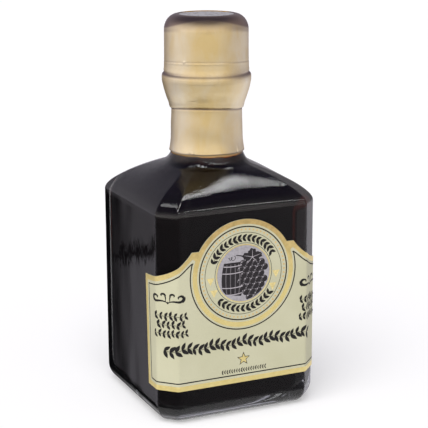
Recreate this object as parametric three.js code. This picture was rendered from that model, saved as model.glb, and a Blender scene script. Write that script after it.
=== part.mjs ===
// A square glass bottle of vinegar with chamfered corners, a stopper under a shrunk sleeve, and a wrapped label.
// Millimetres, +Z up. The origin is the middle of the foot, and the label looks along -Y.
import * as THREE from "three";

// The outside of the glass body
const body = {
  half: 31, // half the width of the square
  chamfer: 5.7, // leg of the chamfer on each upright corner
  arris: 1.6, // radius of the soft edge on both sides of each chamfer
  heelIn: 6, // the heel's rounding, inwards
  heelUp: 7, // the heel's rounding, upwards
  bearing: 2.6, // width of the flat ring that the bottle stands on
  pushUp: 2.4, // rise of the foot's middle
};

// The inside of the glass body, as a rounder square
const wall = 2.7;
const inside = {
  half: body.half - wall,
  chamfer: 7,
  arris: 4.5,
  floor: 4.6, // height of the floor beside the rounding
  rounding: 5, // radius between the floor and the walls
  dome: 1, // rise of the floor's middle
};

// The shoulder, from the square body to the round neck. Lengths across are shares of the way from neck to wall.
const neckRadius = 12.65;
const boreRadius = 9.25;
const shoulder = {
  crease: 79, // height at which the wall's line and the slope meet
  roundDown: 2.6, // the rounded crease starts this far below
  roundIn: 0.28, // and ends this share inwards
  meet: 90, // height at which the slope would meet the neck
  filletOut: 0.18, // the neck's fillet starts at this share
  filletUp: 7.5,
  bulge: 1, // how far the slope stands above a straight one
};
const innerShoulder = {
  crease: 77.6,
  roundDown: 5,
  roundIn: 0.32,
  meet: 88,
  filletOut: 0.2,
  filletUp: 8,
  bulge: 0.9,
};

// The shrunk sleeve's outside. The glass mouth and the stopper follow it from within.
const sleeve = {
  film: 0.25,
  gap: 0.15, // between the film and what it is shrunk on
  end: 92.5,
  endRadius: 13.93,
  flareRise: 4.6, // the lower end's flare has gone at this height above the end
  neck: 103.8,
  neckRadius: 13.06,
  groove: 107.9,
  grooveRadius: 12.89,
  lipFoot: 109.5,
  lipFootRadius: 13.55,
  taperTop: 114.9,
  taperRadius: 15.33,
  ridge: 120.2,
  ridgeHalf: 1,
  ridgeRadius: 16.28,
  headFoot: 125.2,
  headRadius: 15.3,
  headTop: 137.2,
  top: 142.85,
  topRadius: 10.3, // where the rounded edge meets the flat top
};
const disc = { thickness: 0.2, sunk: 0.15, clearance: 0.2 };
const mouth = { top: 121.2, outerRounding: 0.6, innerRounding: 0.8 };
const stopper = { gap: 0.3, shank: 22, chamfer: 0.8, overhang: 0.4 };
const vinegar = { level: 96.5, gap: 0.3 };

// The label, unrolled: s runs along the paper from the middle of the front
const label = {
  gap: 0.15,
  paper: 0.2,
  foot: 13.1,
  halfFoot: 40.6, // half its length at the foot
  flare: 1.6, // how much longer each side is at the top
  medallion: 53.9, // height of the round middle's centre
  medallionRadius: 19.75,
  ledgeIn: 17.2, // a level ledge runs out from here
  ledgeOut: 19.9, // to here
  ledge: 63.7,
  sweepEnd: 53.4, // height that the sweeping top edge runs down to
  sweepLength: 7.5, // it falls by a factor e over this length
};

// How finely the round stretches are cut
const cuts = { face: 8, arris: 2, chamfer: 2, heel: 5, floor: 3, headEdge: 4, turned: 44, medallion: 18 };

const eighth = Math.PI / 4;
const tangentShare = Math.tan(eighth / 2); // an arc of an eighth of a turn starts this share of its radius away

function onCircle(centre, radius, angle) {
  return new THREE.Vector2(centre.x + radius * Math.cos(angle), centre.y + radius * Math.sin(angle));
}

// The points of one level section in order round the bottle, counterclockwise from above
function sectionPath(half, chamfer, arris) {
  const straight = half - chamfer - arris * tangentShare;
  const faceAngle = Math.atan2(straight, half);
  const quarter = [];
  for (let i = 0; i <= cuts.face; i++) {
    const angle = faceAngle * ((2 * i) / cuts.face - 1);
    quarter.push(new THREE.Vector2(half * Math.tan(angle), -half));
  }
  const nearCentre = new THREE.Vector2(straight, arris - half);
  const farCentre = new THREE.Vector2(half - arris, -straight);
  for (let i = 1; i <= cuts.arris; i++) {
    quarter.push(onCircle(nearCentre, arris, (eighth * i) / cuts.arris - 2 * eighth));
  }
  const from = onCircle(nearCentre, arris, -eighth);
  const to = onCircle(farCentre, arris, -eighth);
  for (let i = 1; i <= cuts.chamfer; i++) {
    quarter.push(from.clone().lerp(to, i / cuts.chamfer));
  }
  for (let i = 1; i < cuts.arris; i++) {
    quarter.push(onCircle(farCentre, arris, (eighth * i) / cuts.arris - eighth));
  }
  const axis = new THREE.Vector2();
  const points = [];
  for (let side = 0; side < 4; side++) {
    for (const point of quarter) {
      points.push(point.clone().rotateAround(axis, 2 * eighth * side));
    }
  }
  return points;
}

// The section of a chamfered square with its walls moved inwards
function insetSection(square, inset) {
  const leastChamfer = 2;
  const chamfer = Math.max(square.chamfer - inset * (2 - Math.SQRT2), leastChamfer);
  return sectionPath(square.half - inset, chamfer, Math.min(square.arris, chamfer));
}

// One ring: squareness 1 keeps the section, 0 makes it a circle of the given radius
function ring(section, z, squareness = 1, radius = 0) {
  return section.map((point) => {
    const reach = radius + (point.length() - radius) * squareness;
    const moved = point.clone().setLength(reach);
    return new THREE.Vector3(moved.x, moved.y, z);
  });
}

// A closed body through rings of equal count, ending on the axis at both ends
function loft(rings, firstHeight, lastHeight) {
  const count = rings[0].length;
  const positions = [0, 0, firstHeight];
  for (const point of rings.flat()) {
    positions.push(point.x, point.y, point.z);
  }
  positions.push(0, 0, lastHeight);
  const at = (row, column) => 1 + row * count + (column % count);
  const last = 1 + rings.length * count;
  const index = [];
  for (let i = 0; i < count; i++) {
    index.push(0, at(0, i + 1), at(0, i));
    for (let row = 0; row + 1 < rings.length; row++) {
      index.push(at(row, i), at(row, i + 1), at(row + 1, i + 1));
      index.push(at(row, i), at(row + 1, i + 1), at(row + 1, i));
    }
    index.push(at(rings.length - 1, i), at(rings.length - 1, i + 1), last);
  }
  return indexed(positions, index);
}

function indexed(positions, index) {
  const geometry = new THREE.BufferGeometry();
  geometry.setAttribute("position", new THREE.Float32BufferAttribute(positions, 3));
  geometry.setIndex(index);
  geometry.computeVertexNormals();
  return geometry;
}

// The shoulder's profile as pairs of squareness and height: a rounded crease, a slope, then the neck's fillet
function shoulderCurve(shape, creaseCuts, slopeCuts, filletCuts) {
  const rise = shape.meet - shape.crease;
  const slopeAt = (u) => new THREE.Vector2(u, shape.crease + rise * (1 - u) + 4 * shape.bulge * u * (1 - u));
  const creaseEnd = 1 - shape.roundIn;
  const crease = new THREE.QuadraticBezierCurve(
    new THREE.Vector2(1, shape.crease - shape.roundDown),
    new THREE.Vector2(1, shape.crease),
    slopeAt(creaseEnd),
  );
  const start = slopeAt(shape.filletOut);
  const steepness = rise - 4 * shape.bulge * (1 - 2 * shape.filletOut);
  const corner = new THREE.Vector2(0, start.y + steepness * shape.filletOut);
  const fillet = new THREE.QuadraticBezierCurve(start, corner, new THREE.Vector2(0, corner.y + shape.filletUp));
  const slope = [];
  for (let i = 1; i < slopeCuts; i++) {
    slope.push(slopeAt(THREE.MathUtils.lerp(creaseEnd, shape.filletOut, i / slopeCuts)));
  }
  return [...crease.getPoints(creaseCuts), ...slope, ...fillet.getPoints(filletCuts)];
}

// The sleeve's outside from its lower end to the top of the ridge, moved inwards
function neckOutline(inset) {
  const s = sleeve;
  const flare = s.endRadius - s.neckRadius;
  const points = [
    [s.endRadius, s.end],
    [s.neckRadius + flare * 0.44, s.end + s.flareRise * 0.52],
    [s.neckRadius + flare * 0.15, s.end + s.flareRise],
    [s.neckRadius, s.neck],
    [s.grooveRadius, s.groove],
    [s.lipFootRadius, s.lipFoot],
    [s.taperRadius, s.taperTop],
    [s.ridgeRadius - 0.2, s.ridge - 2 * s.ridgeHalf],
    [s.ridgeRadius, s.ridge - s.ridgeHalf],
    [s.ridgeRadius, s.ridge + s.ridgeHalf],
  ];
  return points.map(([radius, z]) => new THREE.Vector2(radius - inset, z));
}

// The sleeve's outside from above the ridge over the rounded head to the flat top, moved inwards
function headOutline(inset) {
  const s = sleeve;
  const radius = s.headRadius - inset;
  const points = [
    new THREE.Vector2(radius + 0.35, THREE.MathUtils.lerp(s.ridge, s.headFoot, 0.52)),
    new THREE.Vector2(radius, s.headFoot),
    new THREE.Vector2(radius, s.headTop),
  ];
  for (let i = 1; i <= cuts.headEdge; i++) {
    const turn = (2 * eighth * i) / cuts.headEdge;
    const x = s.topRadius + (radius - s.topRadius) * Math.cos(turn);
    points.push(new THREE.Vector2(x, s.headTop + (s.top - inset - s.headTop) * Math.sin(turn)));
  }
  return points;
}

// A turned body about Z from a profile of radius and height
function turned(profile) {
  const geometry = new THREE.LatheGeometry(profile, cuts.turned);
  geometry.rotateX(Math.PI / 2);
  return geometry;
}

// The rings of the cavity from its floor up into the bore, at a distance from the glass
function cavityRings(gap) {
  const square = { ...inside, half: inside.half - gap };
  const rings = [];
  for (let i = 0; i <= cuts.floor; i++) {
    const turn = (2 * eighth * i) / cuts.floor;
    const section = insetSection(square, inside.rounding * (1 - Math.sin(turn)));
    rings.push(ring(section, inside.floor + gap + inside.rounding * (1 - Math.cos(turn))));
  }
  const curve = { ...innerShoulder, crease: innerShoulder.crease - gap, meet: innerShoulder.meet - gap };
  const section = insetSection(square, 0);
  for (const point of shoulderCurve(curve, 3, 3, 4)) {
    rings.push(ring(section, point.y, point.x, boreRadius - gap));
  }
  return rings;
}

function glassGeometry() {
  const section = insetSection(body, 0);
  // The foot: the push-up turns from round to square on its way out to the bearing ring
  const bearing = insetSection(body, body.heelIn + body.bearing);
  const bearingHalf = body.half - body.heelIn - body.bearing;
  const rings = [
    ring(bearing, body.pushUp * 0.86, 0.25, bearingHalf * 0.4),
    ring(bearing, body.pushUp * 0.4, 0.7, bearingHalf * 0.6),
    ring(bearing, 0),
  ];
  for (let i = 0; i <= cuts.heel; i++) {
    const turn = (2 * eighth * i) / cuts.heel;
    rings.push(ring(insetSection(body, body.heelIn * (1 - Math.sin(turn))), body.heelUp * (1 - Math.cos(turn))));
  }
  for (const point of shoulderCurve(shoulder, 4, 4, 5)) {
    rings.push(ring(section, point.y, point.x, neckRadius));
  }
  // The neck and the mouth, which the sleeve hides
  const inset = sleeve.film + sleeve.gap;
  const mouthCorner = mouth.top - mouth.outerRounding;
  for (const point of neckOutline(inset)) {
    if (point.y >= sleeve.neck) {
      rings.push(ring(section, Math.min(point.y, mouthCorner), 0, point.x));
    }
  }
  rings.push(ring(section, mouth.top, 0, sleeve.ridgeRadius - inset - mouth.outerRounding));
  rings.push(ring(section, mouth.top, 0, boreRadius + mouth.innerRounding));
  rings.push(ring(section, mouth.top - mouth.innerRounding, 0, boreRadius));
  rings.push(...cavityRings(0).reverse());
  return loft(rings, body.pushUp, inside.floor + inside.dome);
}

function vinegarGeometry() {
  const rings = cavityRings(vinegar.gap);
  rings.push(ring(insetSection(inside, 0), vinegar.level, 0, boreRadius - vinegar.gap));
  return loft(rings, inside.floor + inside.dome + vinegar.gap, vinegar.level);
}

function stopperGeometry() {
  const inset = sleeve.film + sleeve.gap;
  const shankRadius = boreRadius - stopper.gap;
  const shankFoot = mouth.top - stopper.shank;
  const headFoot = mouth.top + stopper.gap;
  return turned([
    new THREE.Vector2(0, shankFoot),
    new THREE.Vector2(shankRadius - stopper.chamfer, shankFoot),
    new THREE.Vector2(shankRadius, shankFoot + stopper.chamfer),
    new THREE.Vector2(shankRadius, headFoot),
    new THREE.Vector2(sleeve.headRadius - inset - stopper.overhang, headFoot),
    ...headOutline(inset).slice(1),
    new THREE.Vector2(0, sleeve.top - inset),
  ]);
}

function sleeveGeometry() {
  const outside = [...neckOutline(0), ...headOutline(0)];
  const within = [...neckOutline(sleeve.film), ...headOutline(sleeve.film)].reverse();
  return turned([...outside, ...within, outside[0].clone()]);
}

function discGeometry() {
  const top = sleeve.top - disc.sunk;
  const radius = sleeve.topRadius - disc.clearance;
  return turned([
    new THREE.Vector2(0, top - disc.thickness),
    new THREE.Vector2(radius, top - disc.thickness),
    new THREE.Vector2(radius, top),
    new THREE.Vector2(0, top),
  ]);
}

// The height of the label's top edge at s
function labelTop(s) {
  const away = Math.abs(s);
  if (away <= label.ledgeIn) {
    return label.medallion + Math.sqrt(label.medallionRadius ** 2 - away ** 2);
  }
  if (away <= label.ledgeOut) {
    return label.ledge;
  }
  const fall = Math.exp((label.ledgeOut - away) / label.sweepLength);
  return THREE.MathUtils.lerp(label.sweepEnd, label.ledge, fall);
}

// The lengths along the paper at which it starts and stops bending
function bends() {
  const arc = body.arris * eighth;
  const front = body.half - body.chamfer - body.arris * tangentShare;
  const slant = body.chamfer * Math.SQRT2 - 2 * body.arris * tangentShare;
  return { arc, front, chamfer: front + arc, chamferEnd: front + arc + slant, side: front + 2 * arc + slant };
}

// The point of the wrapped paper at s, at a distance out of the glass
function wrapped(s, out) {
  const away = Math.abs(s);
  const at = bends();
  const radius = body.arris + out;
  const point = new THREE.Vector2(away, -body.half - out);
  if (away > at.side) {
    point.set(body.half + out, away - at.side - at.front);
  } else if (away > at.chamferEnd) {
    const turn = (away - at.chamferEnd) / body.arris - eighth;
    point.copy(onCircle(new THREE.Vector2(body.half - body.arris, -at.front), radius, turn));
  } else if (away > at.front) {
    const turn = Math.min((away - at.front) / body.arris, eighth);
    const run = Math.max(away - at.chamfer, 0) * Math.SQRT1_2;
    point.copy(onCircle(new THREE.Vector2(at.front, body.arris - body.half), radius, turn - 2 * eighth));
    point.addScalar(run);
  }
  return new THREE.Vector2(s < 0 ? -point.x : point.x, point.y);
}

function labelGeometry() {
  const at = bends();
  const half = [];
  const medallionTurn = Math.asin(label.ledgeIn / label.medallionRadius);
  for (let i = 0; i <= cuts.medallion; i++) {
    half.push(label.medallionRadius * Math.sin((medallionTurn * i) / cuts.medallion));
  }
  half.push(label.ledgeIn + 0.05, label.ledgeOut);
  for (const step of [0.9, 1.9, 3.3]) {
    half.push(label.ledgeOut + step);
  }
  half.push(at.front, at.front + at.arc / 2, at.chamfer, (at.chamfer + at.chamferEnd) / 2);
  half.push(at.chamferEnd, at.chamferEnd + at.arc / 2, at.side, (at.side + label.halfFoot) / 2);
  half.push(label.halfFoot);
  const mirrored = half.slice(1).map((s) => -s).reverse();
  const stations = [...mirrored, ...half];
  const positions = [];
  for (const s of stations) {
    const atEnd = Math.abs(s) === label.halfFoot;
    const topS = atEnd ? s + Math.sign(s) * label.flare : s;
    for (const out of [label.gap, label.gap + label.paper]) {
      const low = wrapped(s, out);
      const high = wrapped(topS, out);
      positions.push(low.x, low.y, label.foot, high.x, high.y, labelTop(topS));
    }
  }
  // Each station has four corners: back foot, back top, front foot, front top
  const index = [];
  const quad = (a, b, c, d) => index.push(a, b, c, a, c, d);
  for (let i = 0; i + 1 < stations.length; i++) {
    const a = 4 * i;
    const b = a + 4;
    quad(a + 2, b + 2, b + 3, a + 3);
    quad(a + 1, b + 1, b, a);
    quad(a, b, b + 2, a + 2);
    quad(a + 3, b + 3, b + 1, a + 1);
  }
  const end = 4 * (stations.length - 1);
  quad(0, 2, 3, 1);
  quad(end, end + 1, end + 3, end + 2);
  return indexed(positions, index);
}

function piece(name, geometry, finish) {
  const mesh = new THREE.Mesh(geometry, new THREE.MeshStandardMaterial(finish));
  mesh.name = name;
  return mesh;
}

const bottle = new THREE.Group();
bottle.add(
  piece("glass_bottle", glassGeometry(), { color: 0xdfe6e2, roughness: 0.05, transparent: true, opacity: 0.35 }),
  piece("vinegar", vinegarGeometry(), { color: 0x1a0805, roughness: 0.1 }),
  piece("stopper", stopperGeometry(), { color: 0x2a211c, roughness: 0.6 }),
  piece("capsule", sleeveGeometry(), { color: 0xc9ad72, roughness: 0.4, metalness: 0.6 }),
  piece("capsule_disc", discGeometry(), { color: 0xb9a888, roughness: 0.15, metalness: 0.6 }),
  piece("label", labelGeometry(), { color: 0xdcd8b4, roughness: 0.6 }),
);

export default bottle;
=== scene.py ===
import math

import bmesh
import bpy
import numpy as np
from mathutils import Matrix, Vector
from mathutils.geometry import delaunay_2d_cdt


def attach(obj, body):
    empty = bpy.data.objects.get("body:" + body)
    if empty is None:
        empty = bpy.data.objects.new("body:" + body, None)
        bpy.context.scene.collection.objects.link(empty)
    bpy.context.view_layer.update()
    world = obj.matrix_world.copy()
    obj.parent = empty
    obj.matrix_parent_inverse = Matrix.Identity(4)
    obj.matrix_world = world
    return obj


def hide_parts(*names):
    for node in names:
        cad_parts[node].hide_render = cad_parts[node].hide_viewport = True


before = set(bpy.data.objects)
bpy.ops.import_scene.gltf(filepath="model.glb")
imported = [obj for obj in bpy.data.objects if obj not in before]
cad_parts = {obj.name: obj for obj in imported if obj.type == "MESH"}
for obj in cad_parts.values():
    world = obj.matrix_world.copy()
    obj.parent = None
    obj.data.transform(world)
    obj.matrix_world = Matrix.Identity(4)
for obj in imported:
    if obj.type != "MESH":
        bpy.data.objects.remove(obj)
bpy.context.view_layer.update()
print("frame loaded:", ", ".join(sorted(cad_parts)))

mm = 0.001
eighth = math.pi / 4
tangentShare = math.tan(eighth / 2)  # an arc of an eighth of a turn starts this share of its radius away

scene = bpy.context.scene
scene.view_settings.view_transform = "Standard"
scene.view_settings.look = "None"

# The camera, fitted to the photograph
cameraPlace = {
    "eye": (-206.04, -458.39, 193.32),
    "azimuth": -24.497,
    "elevation": 13.947,
    "roll": -0.1765,
    "lens": 117.10,
    "sensor": 36.0,
    "clip": (0.02, 30.0),
}


def directionTo(azimuth, elevation):
    a, e = math.radians(azimuth), math.radians(elevation)
    return Vector((math.sin(a) * math.cos(e), -math.cos(a) * math.cos(e), math.sin(e)))


def placeCamera():
    p = cameraPlace
    data = bpy.data.cameras.new("camera")
    data.lens = p["lens"]
    data.sensor_width = p["sensor"]
    data.clip_start, data.clip_end = p["clip"]
    back = directionTo(p["azimuth"], p["elevation"])
    a, r = math.radians(p["azimuth"]), math.radians(p["roll"])
    level = Vector((math.cos(a), math.sin(a), 0.0))
    upright = back.cross(level)
    right = level * math.cos(r) + upright * math.sin(r)
    up = upright * math.cos(r) - level * math.sin(r)
    turn = Matrix((right, up, back)).transposed().to_4x4()
    camera = bpy.data.objects.new("camera", data)
    camera.matrix_world = Matrix.Translation(Vector(p["eye"]) * mm) @ turn
    scene.collection.objects.link(camera)
    scene.camera = camera


placeCamera()


# Mesh helpers. Points are in millimetres until they go into a mesh.
def meshPiece(name, points, faces, material, sharpAngle=None):
    mesh = bpy.data.meshes.new(name)
    mesh.from_pydata((np.asarray(points, float) * mm).tolist(), [], faces)
    mesh.materials.append(material)
    mesh.shade_smooth()
    if sharpAngle is not None:
        mesh.set_sharp_from_angle(angle=math.radians(sharpAngle))
    mesh.validate()
    mesh.update()
    piece = bpy.data.objects.new(name, mesh)
    scene.collection.objects.link(piece)
    return piece


# Quads between rings of equal count, with a fan to a pole where one is given
def loftFaces(rows, columns, first=None, last=None):
    faces = []
    for i in range(columns):
        j = (i + 1) % columns
        for row in range(rows - 1):
            a, b = row * columns, (row + 1) * columns
            faces.append((a + i, a + j, b + j, b + i))
        if first is not None:
            faces.append((first, j, i))
        if last is not None:
            top = (rows - 1) * columns
            faces.append((top + i, top + j, last))
    return faces


# The same, with the last ring joined to the first
def tubeFaces(rows, columns):
    last = (rows - 1) * columns
    pairs = [(i, (i + 1) % columns) for i in range(columns)]
    return loftFaces(rows, columns) + [(last + i, last + j, j, i) for i, j in pairs]


# A closed body through rings, ending on the upright axis at both ends
def lofted(name, rings, bottom, top, material, sharpAngle=None):
    count = len(rings[0])
    last = len(rings) * count
    points = np.concatenate([*rings, [[0, 0, bottom]], [[0, 0, top]]])
    return meshPiece(name, points, loftFaces(len(rings), count, last, last + 1), material, sharpAngle)


def bearings(columns):
    return np.arange(columns) / columns * 2 * math.pi


def onRing(theta, radius, z):
    return np.column_stack([radius * np.cos(theta), radius * np.sin(theta), z + theta * 0])


# A smooth random field between about -1 and 1, with a wavelength for each axis
def waves(points, lengths, seed, count=9):
    draw = np.random.default_rng(seed)
    total = np.zeros(len(points))
    for _ in range(count):
        heading = draw.normal(size=3)
        heading /= np.linalg.norm(heading)
        pace = 2 * math.pi * heading / np.array(lengths) * draw.uniform(0.6, 1.5)
        total += np.sin(points @ pace + draw.uniform(0, 2 * math.pi))
    return total / math.sqrt(count)


def smoothStep(low, high, x):
    t = np.clip((x - low) / (high - low), 0, 1)
    return t * t * (3 - 2 * t)


# 1 between two slopes, each given by its two ends
def between(x, rise, fall):
    return smoothStep(*rise, x) * (1 - smoothStep(*fall, x))


def bump(x, centre, width):
    return np.exp(-(((x - centre) / width) ** 2))


def marked(piece, name, amounts):
    attribute = piece.data.attributes.new(name, "FLOAT", "POINT")
    attribute.data.foreach_set("value", np.asarray(amounts, np.float32))


# Material helpers
def addNode(tree, kind, **settings):
    node = tree.nodes.new(kind)
    for key, value in settings.items():
        setattr(node, key, value)
    return node


def setInputs(node, **values):
    for key, value in values.items():
        node.inputs[key.replace("_", " ")].default_value = value


def newMaterial(name, **values):
    material = bpy.data.materials.new(name)
    material.use_nodes = True
    shader = material.node_tree.nodes["Principled BSDF"]
    setInputs(shader, **values)
    return material, material.node_tree, shader


# Links the values that are sockets and sets the others
def feed(tree, values, sockets):
    for value, socket in zip(values, sockets):
        if isinstance(value, bpy.types.NodeSocket):
            tree.links.new(value, socket)
        else:
            socket.default_value = value


def maths(tree, operation, *values):
    node = addNode(tree, "ShaderNodeMath", operation=operation)
    feed(tree, values, node.inputs)
    return node.outputs[0]


def times(tree, first, second):
    return maths(tree, "MULTIPLY", first, second)


def joinXYZ(tree, x=0.0, y=0.0, z=0.0):
    node = addNode(tree, "ShaderNodeCombineXYZ")
    feed(tree, (x, y, z), node.inputs)
    return node.outputs[0]


def splitXYZ(tree, vector):
    node = addNode(tree, "ShaderNodeSeparateXYZ")
    tree.links.new(vector, node.inputs[0])
    return node.outputs


# Object coordinates in millimetres, or stretched from there
def inMillimetres(tree, stretch=(1, 1, 1)):
    mapping = addNode(tree, "ShaderNodeMapping")
    mapping.inputs["Scale"].default_value = [s / mm for s in stretch]
    tree.links.new(addNode(tree, "ShaderNodeTexCoord").outputs["Object"], mapping.inputs["Vector"])
    return mapping.outputs["Vector"]


def noiseOver(tree, vector, scale, detail=3.0, roughness=0.5, distortion=0.0):
    node = addNode(tree, "ShaderNodeTexNoise")
    setInputs(node, Scale=scale, Detail=detail, Roughness=roughness, Distortion=distortion)
    tree.links.new(vector, node.inputs["Vector"])
    return node.outputs["Fac"]


def mapped(tree, value, low, high, fromLow=0.35, fromHigh=0.65):
    node = addNode(tree, "ShaderNodeMapRange")
    setInputs(node, From_Min=fromLow, From_Max=fromHigh, To_Min=low, To_Max=high)
    tree.links.new(value, node.inputs["Value"])
    return node.outputs["Result"]


def mixedColour(tree, factor, *tones):
    node = addNode(tree, "ShaderNodeMix", data_type="RGBA")
    tones = [tone if isinstance(tone, bpy.types.NodeSocket) else (*tone, 1) for tone in tones]
    feed(tree, (factor, *tones), (node.inputs["Factor"], node.inputs[6], node.inputs[7]))
    return node.outputs[2]


def attributeOf(tree, name):
    return addNode(tree, "ShaderNodeAttribute", attribute_name=name).outputs["Fac"]


def coloured(tree, shader, tone):
    tree.links.new(tone, shader.inputs["Base Color"])


def bumped(tree, shader, height, strength, distance):
    node = addNode(tree, "ShaderNodeBump")
    setInputs(node, Strength=strength, Distance=distance)
    tree.links.new(height, node.inputs["Height"])
    tree.links.new(node.outputs["Normal"], shader.inputs["Normal"])


# The glass bottle: a square with chamfered corners that turns round at the shoulder
bottle = {
    "half": 31.0,
    "chamfer": 5.7,
    "arris": 1.6,
    "heelIn": 6.0,
    "heelUp": 7.0,
    "bearing": 2.6,
    "pushUp": 2.4,
    "pushUpRings": ((0.86, 0.25, 0.4), (0.4, 0.7, 0.6)),  # shares of its rise, squareness and reach
    "neckRadius": 12.65,
    "boreRadius": 9.25,
    "mouth": 121.2,
    "outerRounding": 0.6,
    "innerRounding": 0.8,
    "lipClear": 0.9,  # room under the film, whose lip is drawn up in front
    "lipClearAt": (111, 3),  # its height and spread
    # How far the blown walls wander, over what lengths, and between which heights
    "outerWave": {
        "depth": 0.004, "share": 1.0, "shift": 0.0, "lengths": (13, 13, 30), "seed": 3, "zone": ((2, 8), (88, 93)),
    },
    "innerWave": {
        "depth": 0.14, "share": 0.5, "shift": -0.3, "lengths": (26, 26, 38), "seed": 5, "zone": ((10, 20), (84, 92)),
    },
    "tint": 18.0,  # light lost on a long way through the walls
    "grain": 0.016,  # the shoulder's fine orange-peel relief
    "grainZone": ((79.5, 82.0), (92.0, 94.0)),
}
inside = {
    "half": 28.3,
    "chamfer": 7.0,
    "arris": 4.5,
    "floor": 4.6,
    "rounding": 5.0,
    "dome": 1.0,
}
shoulder = {
    "crease": 79.0,
    "roundDown": 2.6,
    "roundIn": 0.28,
    "meet": 90.0,
    "filletOut": 0.18,
    "filletUp": 7.5,
    "bulge": 1.0,
    "cuts": (16, 20, 18),  # of the crease, the slope and the fillet
}
innerShoulder = {
    "crease": 77.6,
    "roundDown": 5.0,
    "roundIn": 0.32,
    "meet": 88.0,
    "filletOut": 0.2,
    "filletUp": 8.0,
    "bulge": 0.9,
    "cuts": (12, 16, 16),
}
sectionCuts = {"face": 48, "arris": 8, "chamfer": 8}


def arcAround(centre, radius, start, end, steps, closed=False):
    turns = np.linspace(start, end, steps + 1)[: steps if closed else None]
    return np.stack([centre[0] + radius * np.cos(turns), centre[1] + radius * np.sin(turns)], 1)


def sectionPath(half, chamfer, arris):
    straight = half - chamfer - arris * tangentShare
    faceAngle = math.atan2(straight, half)
    turns = np.linspace(-faceAngle, faceAngle, sectionCuts["face"] + 1)
    front = np.stack([half * np.tan(turns), np.full(len(turns), -half)], 1)
    near = arcAround((straight, arris - half), arris, -2 * eighth, -eighth, sectionCuts["arris"])[1:]
    far = arcAround((half - arris, -straight), arris, -eighth, 0, sectionCuts["arris"])
    shares = np.linspace(0, 1, sectionCuts["chamfer"] + 1)[1:, None]
    slant = near[-1] * (1 - shares) + far[0] * shares
    quarter = np.concatenate([front, near, slant, far[1:-1]])
    sides = []
    for side in range(4):
        c, s = math.cos(2 * eighth * side), math.sin(2 * eighth * side)
        sides.append(quarter @ np.array([[c, s], [-s, c]]))
    return np.concatenate(sides)


def insetSection(square, inset):
    chamfer = max(square["chamfer"] - inset * (2 - math.sqrt(2)), 2.0)
    return sectionPath(square["half"] - inset, chamfer, min(square["arris"], chamfer))


def ringAt(section, z, squareness=1.0, radius=0.0):
    lengths = np.linalg.norm(section, axis=1)
    reach = radius + (lengths - radius) * squareness
    flat = section * (reach / lengths)[:, None]
    return np.column_stack([flat, np.full(len(flat), float(z))])


def bezier(start, corner, end, steps):
    t = np.linspace(0, 1, steps + 1)[:, None]
    return (1 - t) ** 2 * start + 2 * t * (1 - t) * corner + t**2 * end


# Pairs of squareness and height: a rounded crease, a slope, then the neck's fillet
def shoulderCurve(shape):
    creaseCuts, slopeCuts, filletCuts = shape["cuts"]
    rise = shape["meet"] - shape["crease"]

    def slopeAt(u):
        return np.array([u, shape["crease"] + rise * (1 - u) + 4 * shape["bulge"] * u * (1 - u)])

    creaseEnd = 1 - shape["roundIn"]
    low = np.array([1, shape["crease"] - shape["roundDown"]])
    crease = bezier(low, np.array([1, shape["crease"]]), slopeAt(creaseEnd), creaseCuts)
    start = slopeAt(shape["filletOut"])
    steepness = rise - 4 * shape["bulge"] * (1 - 2 * shape["filletOut"])
    corner = np.array([0, start[1] + steepness * shape["filletOut"]])
    fillet = bezier(start, corner, corner + [0, shape["filletUp"]], filletCuts)
    slope = [slopeAt(u) for u in np.linspace(creaseEnd, shape["filletOut"], slopeCuts + 1)[1:-1]]
    return np.concatenate([crease, slope, fillet])


# Points moved away from the upright axis
def outwards(points, distances):
    reach = np.linalg.norm(points[:, :2], axis=1)
    scale = (reach + distances) / np.maximum(reach, 1e-6)
    return np.column_stack([points[:, :2] * scale[:, None], points[:, 2]])


# Adds the rings of a straight wall, from the last ring up, and of the shoulder above it
def addWall(rings, section, profile, cuts, radius):
    for height in np.linspace(rings[-1][0, 2], profile[0, 1], cuts)[1:-1]:
        rings.append(ringAt(section, height))
    for squareness, height in profile:
        rings.append(ringAt(section, height, squareness, radius))


# Rings of the hollow from its floor up into the bore, grown into the glass
def cavityRings(grown):
    square = dict(inside, half=inside["half"] + grown, chamfer=inside["chamfer"] + grown)
    rings = []
    for turn in np.linspace(0, 2 * eighth, 13):
        section = insetSection(square, inside["rounding"] * (1 - math.sin(turn)))
        height = inside["floor"] - grown + inside["rounding"] * (1 - math.cos(turn))
        rings.append(ringAt(section, height))
    curve = dict(innerShoulder)
    curve["crease"] += grown
    curve["meet"] += grown
    addWall(rings, insetSection(square, 0), shoulderCurve(curve), 26, bottle["boreRadius"] + grown)
    return rings


# Rings moved in and out by a smooth random amount, but not beyond a zone of heights
def wavered(rings, wave):
    points = np.concatenate(rings)
    amount = wave["depth"] * between(points[:, 2], *wave["zone"])
    field = waves(points, wave["lengths"], wave["seed"]) * wave["share"] + wave["shift"]
    return np.split(outwards(points, amount * field), len(rings))


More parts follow.
